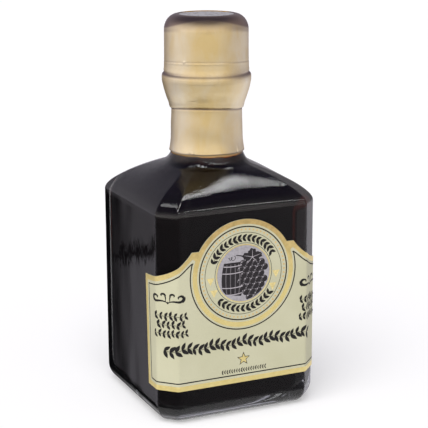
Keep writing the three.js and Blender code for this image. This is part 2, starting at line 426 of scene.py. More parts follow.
def glassRings():
    section = insetSection(bottle, 0)
    bearing = insetSection(bottle, bottle["heelIn"] + bottle["bearing"])
    bearingHalf = bottle["half"] - bottle["heelIn"] - bottle["bearing"]
    rings = [
        ringAt(bearing, bottle["pushUp"] * rise, squareness, bearingHalf * reach)
        for rise, squareness, reach in bottle["pushUpRings"]
    ]
    rings.append(ringAt(bearing, 0))
    for turn in np.linspace(0, 2 * eighth, 19):
        inset = bottle["heelIn"] * (1 - math.sin(turn))
        rings.append(ringAt(insetSection(bottle, inset), bottle["heelUp"] * (1 - math.cos(turn))))
    addWall(rings, section, shoulderCurve(shoulder), 40, bottle["neckRadius"])
    lowest = rings[-1][0, 2]
    corner = bottle["mouth"] - bottle["outerRounding"]
    for radius, height in neckLine(sleeve["film"] + sleeve["gap"]):
        if lowest < height < corner:
            clear = bottle["lipClear"] * bump(height, *bottle["lipClearAt"])
            rings.append(ringAt(section, height, 0, radius - clear))
    lip = sleeve["ridgeRadius"] - sleeve["film"] - sleeve["gap"]
    for turn in np.linspace(0, 2 * eighth, 5):
        rounding = bottle["outerRounding"]
        radius = lip - rounding * (1 - math.cos(turn))
        rings.append(ringAt(section, corner + rounding * math.sin(turn), 0, radius))
    for turn in np.linspace(0, 2 * eighth, 5):
        rounding = bottle["innerRounding"]
        radius = bottle["boreRadius"] + rounding * (1 - math.sin(turn))
        rings.append(ringAt(section, bottle["mouth"] - rounding * (1 - math.cos(turn)), 0, radius))
    return rings


def makeGlass(material):
    outer = wavered(glassRings(), bottle["outerWave"])
    inner = wavered(cavityRings(0), bottle["innerWave"])
    floor = inside["floor"] + inside["dome"]
    return lofted("glass_body", outer + inner[::-1], bottle["pushUp"], floor, material)


# The vinegar reaches a little into the glass and ends in a shallow meniscus inside the sleeved neck
vinegar = {
    "level": 96.5,
    "into": 0.12,
    "meniscus": 0.7,
    "meniscusShares": (0.93, 0.82, 0.6, 0.3),
    "steepness": 9,
    # Painted light shining through: the vinegar is red-brown above these heights
    "paintedGlowAbove": (88.0, 91.5),
    # A painted red-brown glow of light through the vinegar at its upright corners
    "paintedGlowCorner": (0.5, 0.35),  # how far in from the corner it is marked, and its spread
    "paintedGlowZone": ((44, 62), (76, 84)),
}


def makeVinegar(material):
    rings = wavered(cavityRings(vinegar["into"]), bottle["innerWave"])
    section = insetSection(inside, 0)
    radius = bottle["boreRadius"] + vinegar["into"]
    for height in ((rings[-1][0, 2] + vinegar["level"]) / 2, vinegar["level"]):
        rings.append(ringAt(section, height, 0, radius))
    for share in vinegar["meniscusShares"]:
        drop = vinegar["meniscus"] * (1 - math.exp(-(1 - share) * vinegar["steepness"]))
        rings.append(ringAt(section, vinegar["level"] - drop, 0, radius * share))
    bottom = inside["floor"] + inside["dome"] - vinegar["into"]
    return lofted("vinegar_fill", rings, bottom, vinegar["level"] - vinegar["meniscus"], material)


# The shrunk sleeve, with what the heat did to it
sleeve = {
    "film": 0.25,
    "gap": 0.15,
    "end": 93.35,
    "endRadius": 13.8,
    "flareRise": 4.6,
    "flareShares": ((0.44, 0.52), (0.15, 1.0)),  # how far out and up the flare is at two points
    "neck": 103.8,
    "neckRadius": 13.06,
    "groove": 108.3,
    "grooveRadius": 12.89,
    "lipFoot": 108.9,
    "lipFootRadius": 13.46,
    "bead": 110.3,
    "beadRadius": 13.74,
    "taperTop": 114.9,
    "taperRadius": 15.33,
    "ridge": 120.2,
    "ridgeHalf": 1.0,
    "ridgeRadius": 16.28,
    "headFoot": 125.2,
    "headRadius": 15.3,
    "headTop": 137.2,
    "top": 142.85,
    "topRadius": 10.3,
    "rimDrop": 0.3,  # the film's edge rolls down to the disc
    "rimIn": (0.2, 0.35),
    "seamAbove": 0.6,  # the seam stands this far above the head's foot, and rises in front
    "seamRise": 1.1,
    "lipRise": 1.6,  # how far the lip is drawn up in front, and its spread below and above
    "lipSpread": (3.4, 5.6),
    "glossZone": (137.5, 140.5),
    "columns": 320,
    "step": 0.28,  # height of one row of faces
    "innerStep": 0.5,
}


def neckLine(inset):
    s = sleeve
    flare = s["endRadius"] - s["neckRadius"]
    line = [(s["endRadius"], s["end"])]
    line += [(s["neckRadius"] + flare * out, s["end"] + s["flareRise"] * up) for out, up in s["flareShares"]]
    line += [
        (s["neckRadius"], s["neck"]),
        (s["grooveRadius"], s["groove"]),
        (s["lipFootRadius"], s["lipFoot"]),
        (s["beadRadius"], s["bead"]),
        (s["taperRadius"], s["taperTop"]),
        (s["ridgeRadius"] - 0.2, s["ridge"] - 2 * s["ridgeHalf"]),
        (s["ridgeRadius"], s["ridge"] - s["ridgeHalf"]),
        (s["ridgeRadius"], s["ridge"] + s["ridgeHalf"]),
    ]
    return [(radius - inset, z) for radius, z in line]


def headLine(inset):
    s = sleeve
    radius = s["headRadius"] - inset
    foldHeight = s["ridge"] + (s["headFoot"] - s["ridge"]) * 0.4
    line = [(radius + 0.3, foldHeight), (radius, s["headFoot"]), (radius, s["headTop"])]
    for turn in np.linspace(0, 2 * eighth, 9)[1:]:
        x = s["topRadius"] + (radius - s["topRadius"]) * math.cos(turn)
        line.append((x, s["headTop"] + (s["top"] - inset - s["headTop"]) * math.sin(turn)))
    return line


# Cuts the corners of a line, and keeps its ends
def softened(line, rounds=2):
    line = np.asarray(line, float)
    for _ in range(rounds):
        first = line[:-1] * 0.75 + line[1:] * 0.25
        second = line[:-1] * 0.25 + line[1:] * 0.75
        middle = np.stack([first, second], 1).reshape(-1, 2)
        line = np.concatenate([line[:1], middle[1:-1], line[-1:]])
    return line


# The same line with points at even distances
def evenly(line, step):
    line = np.asarray(line, float)
    lengths = np.concatenate([[0], np.cumsum(np.linalg.norm(np.diff(line, axis=0), axis=1))])
    at = np.linspace(0, lengths[-1], max(int(round(lengths[-1] / step)), 1) + 1)
    return np.stack([np.interp(at, lengths, line[:, k]) for k in range(2)], 1)


# A soft spot at a bearing, both in degrees
def around(theta, centre, width):
    away = (np.degrees(theta) - centre + 180) % 360 - 180
    return np.exp(-((away / width) ** 2))


# The photograph looks at the neck from this bearing, where the lip and the seam stand highest
frontBearing = math.radians(247)
farBearing = math.radians(67)


def frontShare(theta):
    return np.maximum(np.cos(theta - frontBearing), 0)


def sideShare(theta):
    return np.abs(np.sin(theta - frontBearing))


def seamLine(theta):
    return sleeve["headFoot"] + sleeve["seamAbove"] + sleeve["seamRise"] * frontShare(theta)


# How far the film's folds are drawn up
def sleeveShift(theta, z):
    middle = sleeve["groove"] + 0.6
    under, over = sleeve["lipSpread"]
    lip = sleeve["lipRise"] * frontShare(theta) * bump(z, middle, np.where(z > middle, over, under))
    return lip + 0.2 * np.sin(theta * 2 + 0.8) * bump(z, middle + 0.8, 2.5)


# How far the film stands in or out at a bearing and a height
def sleeveRelief(theta, z, radius):
    s = sleeve
    relief = 0.014 * waves(onRing(theta, radius, z), (9, 9, 7), 21) * (1 - smoothStep(137, 141, z))
    seam, side, degrees = seamLine(theta), sideShare(theta), np.degrees(theta) % 360
    fold = s["ridge"] + s["ridgeHalf"] + 0.75 + 0.12 * np.sin(theta + 0.6)
    # Rings: the seam, the deep fold above the ridge, the groove and the bead. Amount, height, spread.
    for amount, height, spread in (
        (-0.05, seam, 0.22), (0.05, seam - 0.5, 0.3),
        (-(0.03 + 0.3 * side**2), fold, 0.75 - 0.25 * side),
        (-0.2, s["groove"] + 0.1, 0.3), (0.05, s["bead"] - 0.5, 0.5),
    ):
        relief += amount * bump(z, height, spread)
    # Bubbles, notches and slanting lines. Amount, bearing and its width in degrees, height, spread.
    for amount, bearing, width, height, spread in (
        (0.2, 215, 1.6, seam + 0.1, 0.35), (0.10, 260, 1.0, fold - 0.6, 1.3), (-0.09, 238, 1.2, fold - 0.7, 0.7),
        (0.05, 224, 7, 112.2 + 0.035 * (degrees - 224), 0.35), (-0.05, 222, 8, 111.3 + 0.05 * (degrees - 222), 0.3),
        (0.22, 219, 2.0, s["end"] + 0.9, 0.4), (0.26, 226, 2.4, s["end"] + 0.75, 0.45),
    ):
        relief += amount * around(theta, bearing, width) * bump(z, height, spread)
    # Puckers under the lip, slanting creases on the neck, a line under the groove and a fold by the hem
    pucker = waves(np.column_stack([theta * 14, z * 0.9 + theta * 4, z * 0]), (6, 6, 6), 8)
    slant = waves(np.column_stack([theta * 11 + z * 0.5, z * 0.6, z * 0]), (9, 9, 9), 31)
    relief += 0.035 * pucker * bump(z, s["bead"] + 1.4, 1.7) + 0.022 * slant * bump(z, 100.5, 6.5)
    nearLine = smoothStep(0.1, 0.8, np.cos(theta - math.radians(285)))
    relief -= 0.02 * nearLine * bump(z, s["groove"] - 0.9, 0.22)
    relief += 0.26 * around(theta, 302, 1.3) * smoothStep(97.5, 93.5, z)
    relief -= 0.2 * around(theta, 299, 1.0) * smoothStep(97.0, 93.5, z)
    return relief


# Painted shade on the film, darker at its sides, in its folds, groove, seam and hem edge and on its rounded edge,
# and a painted warm reflection on the edge that rolls over the disc.
# The rows of the table are amount, height and spread.
def sleeveShade(theta, z, radius):
    s = sleeve
    side = sideShare(theta)
    # Painted shade: darker towards both sides, as seen from the front bearing
    dark = 0.15 * smoothStep(0.88, 1.0, side)
    # Painted shade in the fold above the ridge, in the groove, along the seam and at the hem's edge
    for amount, height, spread in (
        (0.2 + 0.75 * side**2, s["ridge"] + s["ridgeHalf"] + 0.5, 1.0 - 0.2 * side),
        (0.85, s["groove"] + 0.1, 0.26), (0.25, seamLine(theta), 0.2), (0.8, s["end"] + 0.15, 0.2),
    ):
        dark = dark + amount * bump(z, height, spread)
    # Painted dark reflection on the rounded edge, down to an arc, with painted shade below it
    capFoot = s["headTop"] + 4.1 - 3.7 * side**2
    dark += 0.4 * smoothStep(capFoot - 5.2 + 3.6 * side, capFoot - 1.9 + 1.2 * side, z)
    dark += (0.36 + 0.14 * side) * smoothStep(capFoot, capFoot + 0.7, z)
    # A painted warm reflection on the far side of the edge that rolls over the disc
    far = smoothStep(0.45, 0.75, np.cos(theta - farBearing))
    edge = far * (z > s["headTop"] + 4) * (1 - smoothStep(0.2, 0.45, radius - s["topRadius"]))
    return np.clip(dark, 0, 1) * (1 - edge), edge


def hemWander(theta):
    return 0.09 * np.sin(3 * theta + 0.4) + 0.05 * np.sin(8 * theta + 2.0)


def makeSleeve(material):
    s = sleeve
    rim = [(s["topRadius"] - inwards, s["top"] - drop) for inwards, drop in zip(s["rimIn"], (0, s["rimDrop"]))]
    outside = evenly(softened([*neckLine(0), *headLine(0), *rim]), s["step"])
    within = evenly(softened([*neckLine(s["film"]), *headLine(s["film"])]), s["innerStep"])
    theta = bearings(s["columns"])
    rings, shades = [], []
    for line, outer in ((outside, True), (within[::-1], False)):
        for radius, z in line:
            heights, reach = z + theta * 0, radius + theta * 0
            shades.append(sleeveShade(theta, heights, reach) if outer else np.zeros((2, len(theta))))
            relief = sleeveRelief(theta, heights, radius)
            reach = reach + (relief if outer else np.minimum(relief, 0))
            heights = heights + sleeveShift(theta, heights)
            nearEnd = 1 - smoothStep(s["end"], s["end"] + 1.0, heights)
            rings.append(onRing(theta, reach, heights + nearEnd * hemWander(theta)))
    piece = meshPiece("sleeve_film", np.concatenate(rings), tubeFaces(len(rings), len(theta)), material)
    # Painted shade and a painted warm reflection, stored on the film's points
    for name, amounts in zip(("paintedShade", "paintedWarmReflection"), np.concatenate(shades, axis=1)):
        marked(piece, name, amounts)
    return piece


# A thin glossy hem of film that the heat drew down on the glass
hem = {
    "drop": 0.85,
    "rise": 0.6,  # how far it reaches up under the film
    "film": 0.09,
    "gap": 0.05,
    "bulge": 0.05,
    "bead": 0.06,  # stands out just below the film's edge
    "beadAt": 0.25,
    "rows": 8,
    "columns": 320,
    # The paler band at the top of the hem is a painted highlight
    "paintedHighlightZone": (92.45, 92.9),
}


# The outer radius of the round neck and its fillet at the height z, on the square's axis
def glassRadius(z):
    profile = shoulderCurve(shoulder)
    squareness = np.interp(z, profile[:, 1], profile[:, 0])
    return bottle["neckRadius"] + (bottle["half"] - bottle["neckRadius"]) * squareness


def makeHem(material):
    theta = bearings(hem["columns"])
    ragged = 0.09 * waves(onRing(theta, 13, 0), (5, 5, 5), 12) + 0.06 * np.sin(theta * 2 + 0.5)
    low, high = sleeve["end"] - hem["drop"] + ragged, sleeve["end"] + hem["rise"]
    rings = []
    for out, order in ((hem["gap"] + hem["film"], 1), (hem["gap"], -1)):
        for share in np.linspace(0, 1, hem["rows"] + 1)[::order]:
            z = low + (high - low) * share
            radius = glassRadius(z) + out + hem["bulge"] * math.sin(math.pi * share)
            if order == 1:
                radius = radius + hem["bead"] * bump(z, sleeve["end"] - hem["beadAt"], hem["beadAt"])
            rings.append(onRing(theta, radius, z))
    return meshPiece("sleeve_hem", np.concatenate(rings), tubeFaces(len(rings), len(theta)), material)


# The glossy disc in the sleeve's top
topDisc = {
    "radius": 9.9,
    "top": 142.66,
    "thickness": 0.16,
    "dent": 0.06,
    "groove": (7.6, 0.25, 0.06),  # radius, spread, depth
    "rings": 34,
    "columns": 160,
}


def makeTopDisc(material):
    d = topDisc
    theta = bearings(d["columns"])
    shares = np.linspace(0.03, 1, d["rings"])
    underside = d["top"] - d["thickness"]
    middle, spread, depth = d["groove"]
    rings = [onRing(theta, d["radius"] * share, underside) for share in shares]
    for share in shares[::-1]:
        radius = d["radius"] * share
        sag = d["dent"] * (waves(onRing(theta, radius, 0), (7, 7, 7), 44) * 0.35 - 0.5) * (1 - share**4)
        rings.append(onRing(theta, radius, d["top"] + sag - depth * bump(radius, middle, spread)))
    return lofted("sleeve_disc", rings, underside, d["top"] - d["dent"] * 0.5, material, 60)


# The label. Its layout is flat: s runs along the paper from the middle of the front, z is the height.
label = {
    "back": 0.04,
    "front": 0.35,
    "foot": 13.1,
    "halfFoot": 40.6,
    "flare": 1.6,
    "medallion": 53.9,
    "medallionRadius": 19.75,
    "ledgeIn": 17.2,
    "ledgeOut": 19.9,
    "ledge": 63.7,
    "sweepEnd": 53.4,
    "sweepLength": 7.5,
    "paleGoldBelow": (50.0, 70.0),
}


def bends():
    b = bottle
    arc = b["arris"] * eighth
    front = b["half"] - b["chamfer"] - b["arris"] * tangentShare
    slant = b["chamfer"] * math.sqrt(2) - 2 * b["arris"] * tangentShare
    return arc, front, front + arc, front + arc + slant, front + 2 * arc + slant


# Points of the paper at s, at a height and a distance out of the glass
def wrapped(s, z, out):
    _, front, chamfer, chamferEnd, side = bends()
    half, arris = bottle["half"], bottle["arris"]
    away = np.abs(s)
    turn = np.clip((away - front) / arris, 0, eighth) + np.clip((away - chamferEnd) / arris, 0, eighth)
    nearRun = np.clip(away - chamfer, 0, chamferEnd - chamfer) * math.sqrt(0.5)
    early, late = np.minimum(turn, eighth), np.maximum(turn, eighth)
    x = np.minimum(away, front) + nearRun + arris * (np.sin(early) + np.sin(late) - math.sin(eighth))
    y = arris - half + nearRun - arris * (np.cos(early) + np.cos(late) - math.cos(eighth))
    x = x + out * np.sin(turn)
    y = y + np.maximum(away - side, 0) - out * np.cos(turn)
    return np.column_stack([np.where(s < 0, -x, x), y, z])


def sweepTop(away):
    fall = np.exp((label["ledgeOut"] - away) / label["sweepLength"])
    return label["sweepEnd"] + (label["ledge"] - label["sweepEnd"]) * fall


def sideAt(z, inset=0.0):
    share = (z - label["foot"]) / (sweepTop(label["halfFoot"] + label["flare"]) - label["foot"])
    return label["halfFoot"] + label["flare"] * share - inset


def fine(path, step=0.5, closed=True):
    path = [np.array(p, float) for p in path]
    ends = path[1:] + path[:1] if closed else path[1:]
    points = []
    for a, b in zip(path, ends):
        count = max(int(math.ceil(np.linalg.norm(b - a) / step)), 1)
        points.extend(a + (b - a) * k / count for k in range(count))
    if not closed:
        points.append(path[-1])
    return np.array(points)


# A closed loop from its right half, which runs up from the middle to the middle
def bothSides(rightHalf):
    right = np.asarray(rightHalf, float)
    left = right[::-1] * [-1, 1]
    return np.concatenate([right, left])


# The outline of the paper, counterclockwise
def labelLoop():
    sweep = np.linspace(label["halfFoot"] + label["flare"], label["ledgeOut"], 40)
    turn = math.asin(label["ledgeIn"] / label["medallionRadius"])
    arch = arcAround((0, label["medallion"]), label["medallionRadius"], 2 * eighth - turn, 2 * eighth, 40)
    right = [(0.0, label["foot"]), (label["halfFoot"], label["foot"])]
    right += [(s, sweepTop(s)) for s in sweep]
    right += [(label["ledgeIn"], label["ledge"]), *arch[:-1]]
    return fine(bothSides(right)[:-1])


# The loop inside the border: foot, leaning sides, sweeping top up to a peak, and under the round middle
def fieldLoop(inset, peak, ring):
    low = label["foot"] + inset
    high = 0.0
    for _ in range(4):  # the side leans, so its top is found in a few rounds
        side = sideAt(high or 50.0, inset)
        high = float(sweepTop(side)) - inset
    sweep = np.linspace(side, peak[0], 40)
    lift = peak[1] - (sweepTop(peak[0]) - inset)
    rise = np.exp(-(sweep - peak[0]) / 1.2) * lift
    right = [(0.0, low), (sideAt(low, inset), low)]
    right += [(s, sweepTop(s) - inset + up) for s, up in zip(sweep, rise)]
    start = math.atan2(peak[1] - label["medallion"], peak[0])
    under = arcAround((0, label["medallion"]), ring, start, -2 * eighth, 90)
    right += [tuple(p) for p in under[1:]]
    return fine(bothSides(right)[:-1])


# How many times the loops wind round each point
def insideCount(points, loops):
    count = np.zeros(len(points), int)
    for loop in loops:
        a, b = loop, np.roll(loop, -1, axis=0)
        below = a[:, 1][None] <= points[:, 1][:, None]
        above = b[:, 1][None] > points[:, 1][:, None]
        cross = (b[:, 0] - a[:, 0])[None] * (points[:, 1][:, None] - a[:, 1][None])
        cross = cross - (points[:, 0][:, None] - a[:, 0][None]) * (b[:, 1] - a[:, 1])[None]
        count += (below & above & (cross > 0)).sum(1) - (~below & ~above & (cross < 0)).sum(1)
    return count


def signedArea(loop):
    following = np.roll(loop, -1, axis=0)
    return 0.5 * np.sum(loop[:, 0] * following[:, 1] - following[:, 0] * loop[:, 1])


# The lengths along the paper, between two, at which a bend is cut
def bendColumns(low, high):
    arc, front, _, chamferEnd, _ = bends()
    columns = [c for start in (front, chamferEnd) for c in np.linspace(start, start + arc, 7)]
    return [sign * c for c in columns for sign in (-1, 1) if low < sign * c < high]


bendRow = 1.2  # height from one extra point to the next


# Extra points where the paper bends, inside the loops' box
def bendPoints(loops):
    every = np.concatenate(loops)
    low, high = every.min(0), every.max(0)
    rows = np.arange(low[1] + bendRow / 2, high[1], bendRow)
    return [(c, r) for c in bendColumns(low[0], high[0]) for r in rows]


# Triangles of the flat region inside the loops and outside the holes
def flatRegion(loops, holes=()):
    loops = [loop if signedArea(loop) > 0 else loop[::-1] for loop in loops]
    holes = [hole if signedArea(hole) < 0 else hole[::-1] for hole in holes]
    rings = [*loops, *holes]
    points, edges = [], []
    for loop in rings:
        start = len(points)
        points += [Vector(p) for p in loop]
        edges += [(start + k, start + (k + 1) % len(loop)) for k in range(len(loop))]
    points += [Vector(p) for p in bendPoints(rings)]
    flat, _, triangles, *_ = delaunay_2d_cdt(points, edges, [], 0, 1e-5)
    flat = np.array([tuple(p) for p in flat])
    triangles = np.array(triangles)
    centres = flat[triangles].mean(1)
    return flat, triangles[insideCount(centres, rings) > 0]


# A closed flat plate: its points as (s, z, side) and its faces, side 1 looking outwards
def slab(flat, triangles):
    used, triangles = np.unique(triangles, return_inverse=True)
    triangles = triangles.reshape(-1, 3)
    flat = flat[used]
    count = len(flat)
    sides = {}
    for a, b, c in triangles:
        for pair in ((a, b), (b, c), (c, a)):
            sides[pair] = True
    rim = [(a, b) for a, b in sides if (b, a) not in sides]
    points = np.concatenate([np.column_stack([flat, np.zeros(count)]), np.column_stack([flat, np.ones(count)])])
    faces = [(int(a) + count, int(b) + count, int(c) + count) for a, b, c in triangles]
    faces += [(int(c), int(b), int(a)) for a, b, c in triangles]
    faces += [(int(a), int(b), int(b) + count, int(a) + count) for a, b in rim]
    return points, faces


def wrappedPlate(name, loops, holes, low, high, material):
    points, faces = slab(*flatRegion(loops, holes))
    out = low + (high - low) * points[:, 2]
    return meshPiece(name, wrapped(points[:, 0], points[:, 1], out), faces, material, 40)


# The outline of a drawn line: one loop, or for a closed line its outer loop and its hole
def stroke(path, width, closed=False):
    path = np.asarray(path, float)
    widths = np.broadcast_to(np.asarray(width, float), (len(path),))
    if closed:
        along = np.roll(path, -1, axis=0) - np.roll(path, 1, axis=0)
    else:
        along = np.gradient(path, axis=0)
    along /= np.maximum(np.linalg.norm(along, axis=1), 1e-9)[:, None]
    across = np.column_stack([-along[:, 1], along[:, 0]]) * widths[:, None] / 2
    if closed:
        return [path + across], [path - across]
    return [np.concatenate([path - across, (path + across)[::-1]])], []


def disc(centre, radius, steps=28):
    return arcAround(centre, radius, 0, 8 * eighth, steps, closed=True)


# The layers of print, each a little prouder than the last
ink = {"film": 0.02, "step": 0.012, "into": 0.01}


def inkFoot(layer):
    return label["front"] - ink["into"] + layer * ink["step"]


def printed(name, loops, holes, layer, material):
    low = inkFoot(layer)
    return wrappedPlate(name, loops, holes, low, low + ink["into"] + ink["film"], material)


medallion = {
    "goldInner": 18.0,
    "heavyLine": (17.1, 0.45),  # radius and width
    "dots": (16.1, 66, 0.3),  # radius, count and size
    "lightLine": (15.0, 0.16),
    "bandMiddle": 12.95,
    "innerLine": (11.15, 0.16),
    "goldLine": (10.5, 0.3),
    "picture": 10.27,
    "cuts": 120,
}
border = {
    "outerShare": 0.9985,  # keeps the gold just inside the paper's ends
    "gold": 1.85,
    "goldPeak": (19.5, 61.3),
    "goldRing": 19.75,
    "lineInset": 3.0,
    "linePeak": (19.5, 59.8),
    "lineRing": 20.6,
    "lineWidth": 0.42,
}


def circleStroke(radius, width):
    centre = (0, label["medallion"])
    outer = disc(centre, radius + width / 2, medallion["cuts"])
    return [outer], [disc(centre, radius - width / 2, medallion["cuts"])]


def starLoop(centre, radius, waist=0.42):
    points = []
    for k in range(10):
        reach = radius if k % 2 == 0 else radius * waist
        turn = 2 * eighth + k * math.pi / 5
        points.append((centre[0] + reach * math.cos(turn), centre[1] + reach * math.sin(turn)))
    return fine(points, 0.4)


# The right half of a scroll ornament. A curl winds in round its middle, at the end of a bent stem.
scroll = {
    "curls": (
        {"middle": (4.4, 0.15), "reach": 1.75, "shrink": 0.72, "squash": 0.8, "start": -1.9, "sweep": 5.4,
         "points": 60, "stem": ((0.15, -1.75), (1.4, -0.9)), "stemCuts": 24,
         "thinnest": 0.26, "swell": 0.75, "swellZone": (0.15, 0.96)},
        {"middle": (2.0, 0.9), "reach": 1.15, "shrink": 0.7, "squash": 0.7, "start": 3.6, "sweep": -4.6,
         "points": 40, "stem": ((0.9, -1.35), (0.6, -0.2)), "stemCuts": 14,
         "thinnest": 0.22, "swell": 0.5, "swellZone": (0.1, 0.95)},
    ),
    "tail": ((5.3, -1.35), (6.6, -0.9), (6.25, 0.65)),
    "tailWidths": (1, 0.2),
    "dot": 0.42,
    "dotDrop": 1.75,
}


def curlPath(c):
    t = np.linspace(0, 1, c["points"])
    turn = c["start"] + c["sweep"] * t
    reach = c["reach"] * (1 - c["shrink"] * t)
    x, y = c["middle"]
    curl = np.stack([x + reach * np.cos(turn), y + reach * c["squash"] * np.sin(turn)], 1)
    stem = bezier(*np.array(c["stem"]), curl[0], c["stemCuts"])
    path = np.concatenate([stem[:-1], curl])
    low, high = c["swellZone"]
    return path, c["thinnest"] + c["swell"] * np.sin(np.linspace(low, math.pi * high, len(path))) ** 2


def scrollLoops(centre):
    loops = []
    tail = bezier(*np.array(scroll["tail"]), 16)
    tailWidths = 0.5 * np.linspace(*scroll["tailWidths"], len(tail))
    for path, widths in [*map(curlPath, scroll["curls"]), (tail, tailWidths)]:
        for side in (-1, 1):
            placed = path * [side, 1] + centre
            loops += stroke(placed, widths)[0]
    loops.append(disc((centre[0], centre[1] - scroll["dotDrop"]), scroll["dot"], 16))
    return loops


ornaments = {
    "star": (0.05, 21.9),
    "starRadius": 2.05,
    "starEdge": 2.65,
    "scroll": (28.9, 47.6),
    "triangle": ((0.0, -1.7), (1.45, 1.0), (-1.45, 1.0)),
    "triangleAngles": (186, 207, 333, 354),
}


# The border, rings, star, scrolls and triangles
def labelPrint(gold, paleGold, black):
    field = fieldLoop(border["gold"], border["goldPeak"], border["goldRing"])
    centre = (0, label["medallion"])
    goldHole = disc(centre, medallion["goldInner"], medallion["cuts"])
    outline = labelLoop() * [border["outerShare"], 1]
    pieces = [printed("print_gold_border", [outline], [field, goldHole], 0, gold)]
    frameLine = fieldLoop(border["lineInset"], border["linePeak"], border["lineRing"])
    loops, holes = stroke(frameLine, border["lineWidth"], closed=True)
    if abs(signedArea(loops[0])) < abs(signedArea(holes[0])):
        loops, holes = holes, loops
    pieces.append(printed("print_frame_line", loops, holes, 1, black))
    for name, line, tone in (
        ("heavy", "heavyLine", black), ("light", "lightLine", black),
        ("inner", "innerLine", black), ("gold", "goldLine", gold),
    ):
        pieces.append(printed(f"print_{name}_ring", *circleStroke(*medallion[line]), 1, tone))
    o = ornaments
    pieces.append(printed("print_star_edge", [starLoop(o["star"], o["starEdge"])], [], 0, black))
    pieces.append(printed("print_star", [starLoop(o["star"], o["starRadius"])], [], 2, gold))
    for name, side in (("left", -1), ("right", 1)):
        loops = scrollLoops(np.array(o["scroll"]) * [side, 1])
        pieces.append(printed(f"print_scroll_{name}", loops, [], 1, black))
    triangles = []
    for turn in np.radians(o["triangleAngles"]):
        middle = np.array([math.cos(turn), math.sin(turn)]) * medallion["bandMiddle"] + centre
        triangles.append(fine(np.array(o["triangle"]) + middle, 0.6))
    pieces.append(printed("print_pale_triangles", triangles, [], 0, paleGold))
    return pieces


# A node with links to its named inputs
def linkedNode(tree, kind, links, **settings):
    node = addNode(tree, kind, **settings)
    for key, value in links.items():
        tree.links.new(value, node.inputs[key])
    return node


# Geometry Nodes: one tree lays leaves and a stem along a wavy line, another sets dots on a ring
def newTree(name, inputs):
    tree = bpy.data.node_groups.new(name, "GeometryNodeTree")
    tree.interface.new_socket("Geometry", in_out="INPUT", socket_type="NodeSocketGeometry")
    for title, kind, value in inputs:
        socket = tree.interface.new_socket(title, in_out="INPUT", socket_type="NodeSocket" + kind)
        if value is not None:
            socket.default_value = value
    tree.interface.new_socket("Geometry", in_out="OUTPUT", socket_type="NodeSocketGeometry")
    return tree, addNode(tree, "NodeGroupInput").outputs, addNode(tree, "NodeGroupOutput")


def finishTree(tree, geometry, material, result):
    real = linkedNode(tree, "GeometryNodeRealizeInstances", {"Geometry": geometry})
    links = {"Geometry": real.outputs["Geometry"], "Material": material}
    dressed = linkedNode(tree, "GeometryNodeSetMaterial", links)
    tree.links.new(dressed.outputs["Geometry"], result.inputs["Geometry"])


stemCuts = 6.0  # stem steps from one pair of leaves to the next
leafSizes = (0.85, 1.1)  # the smallest and the largest leaf, as shares


# The object's own mesh is one leaf, which is set in pairs along a wavy stem
def garlandTree():
    tree, given, result = newTree("leaf garland", [
        ("Length", "Float", 0.05), ("Pairs", "Int", 12), ("Wave Height", "Float", 0.001), ("Waves", "Float", 3.0),
        ("Leaf Size", "Float", 1.0), ("Lean", "Float", 0.7), ("Stem Width", "Float", 0.0003),
        ("Stem Height", "Float", 0.00003), ("Seed", "Int", 1), ("Material", "Material", None),
    ])

    def added(kind, links, **settings):
        return linkedNode(tree, "GeometryNode" + kind, links, **settings)

    def wavyLine(count, spacing):
        line = added("MeshLine", {
            "Count": count, "Start Location": joinXYZ(tree, start), "Offset": joinXYZ(tree, spacing),
        }, mode="OFFSET")
        place = splitXYZ(tree, added("InputPosition", {}).outputs[0])
        share = maths(tree, "DIVIDE", place["X"], given["Length"])
        angle = times(tree, times(tree, share, given["Waves"]), 2 * math.pi)
        height = times(tree, maths(tree, "SINE", angle), given["Wave Height"])
        moved = added("SetPosition", {"Geometry": line.outputs["Mesh"], "Offset": joinXYZ(tree, 0.0, height)})
        slope = times(tree, maths(tree, "COSINE", angle), given["Wave Height"])
        slope = times(tree, slope, times(tree, given["Waves"], 2 * math.pi))
        lean = maths(tree, "ARCTANGENT", maths(tree, "DIVIDE", slope, given["Length"]))
        return moved.outputs["Geometry"], lean

    gaps = maths(tree, "SUBTRACT", given["Pairs"], 1.0)
    step = maths(tree, "DIVIDE", given["Length"], gaps)
    start = times(tree, given["Length"], -0.5)
    leafPoints, leafSlope = wavyLine(given["Pairs"], step)
    joined = addNode(tree, "GeometryNodeJoinGeometry")
    for side in (-1, 1):
        size = addNode(tree, "FunctionNodeRandomValue", data_type="FLOAT")
        size.inputs[2].default_value, size.inputs[3].default_value = leafSizes
        tree.links.new(maths(tree, "ADD", given["Seed"], float(side + 2)), size.inputs["Seed"])
        turn = maths(tree, "ADD", leafSlope, times(tree, given["Lean"], float(side)))
        placed = added("InstanceOnPoints", {
            "Points": leafPoints, "Instance": given["Geometry"], "Rotation": joinXYZ(tree, 0.0, 0.0, turn),
            "Scale": times(tree, size.outputs[1], given["Leaf Size"]),
        })
        tree.links.new(placed.outputs["Instances"], joined.inputs["Geometry"])
    stemCount = maths(tree, "ADD", times(tree, gaps, stemCuts), 1.0)
    stemPoints, _ = wavyLine(stemCount, maths(tree, "DIVIDE", step, stemCuts))
    stemCurve = added("MeshToCurve", {"Mesh": stemPoints})
    profile = added("CurvePrimitiveQuadrilateral", {"Width": given["Stem Height"], "Height": given["Stem Width"]})
    swept = added("CurveToMesh", {"Curve": stemCurve.outputs["Curve"], "Profile Curve": profile.outputs["Curve"]})
    swept.inputs["Fill Caps"].default_value = True
    lift = joinXYZ(tree, 0.0, 0.0, times(tree, given["Stem Height"], 0.5))
    lifted = added("Transform", {"Geometry": swept.outputs["Mesh"], "Translation": lift})
    tree.links.new(lifted.outputs["Geometry"], joined.inputs["Geometry"])
    finishTree(tree, joined.outputs["Geometry"], given["Material"], result)
    return tree


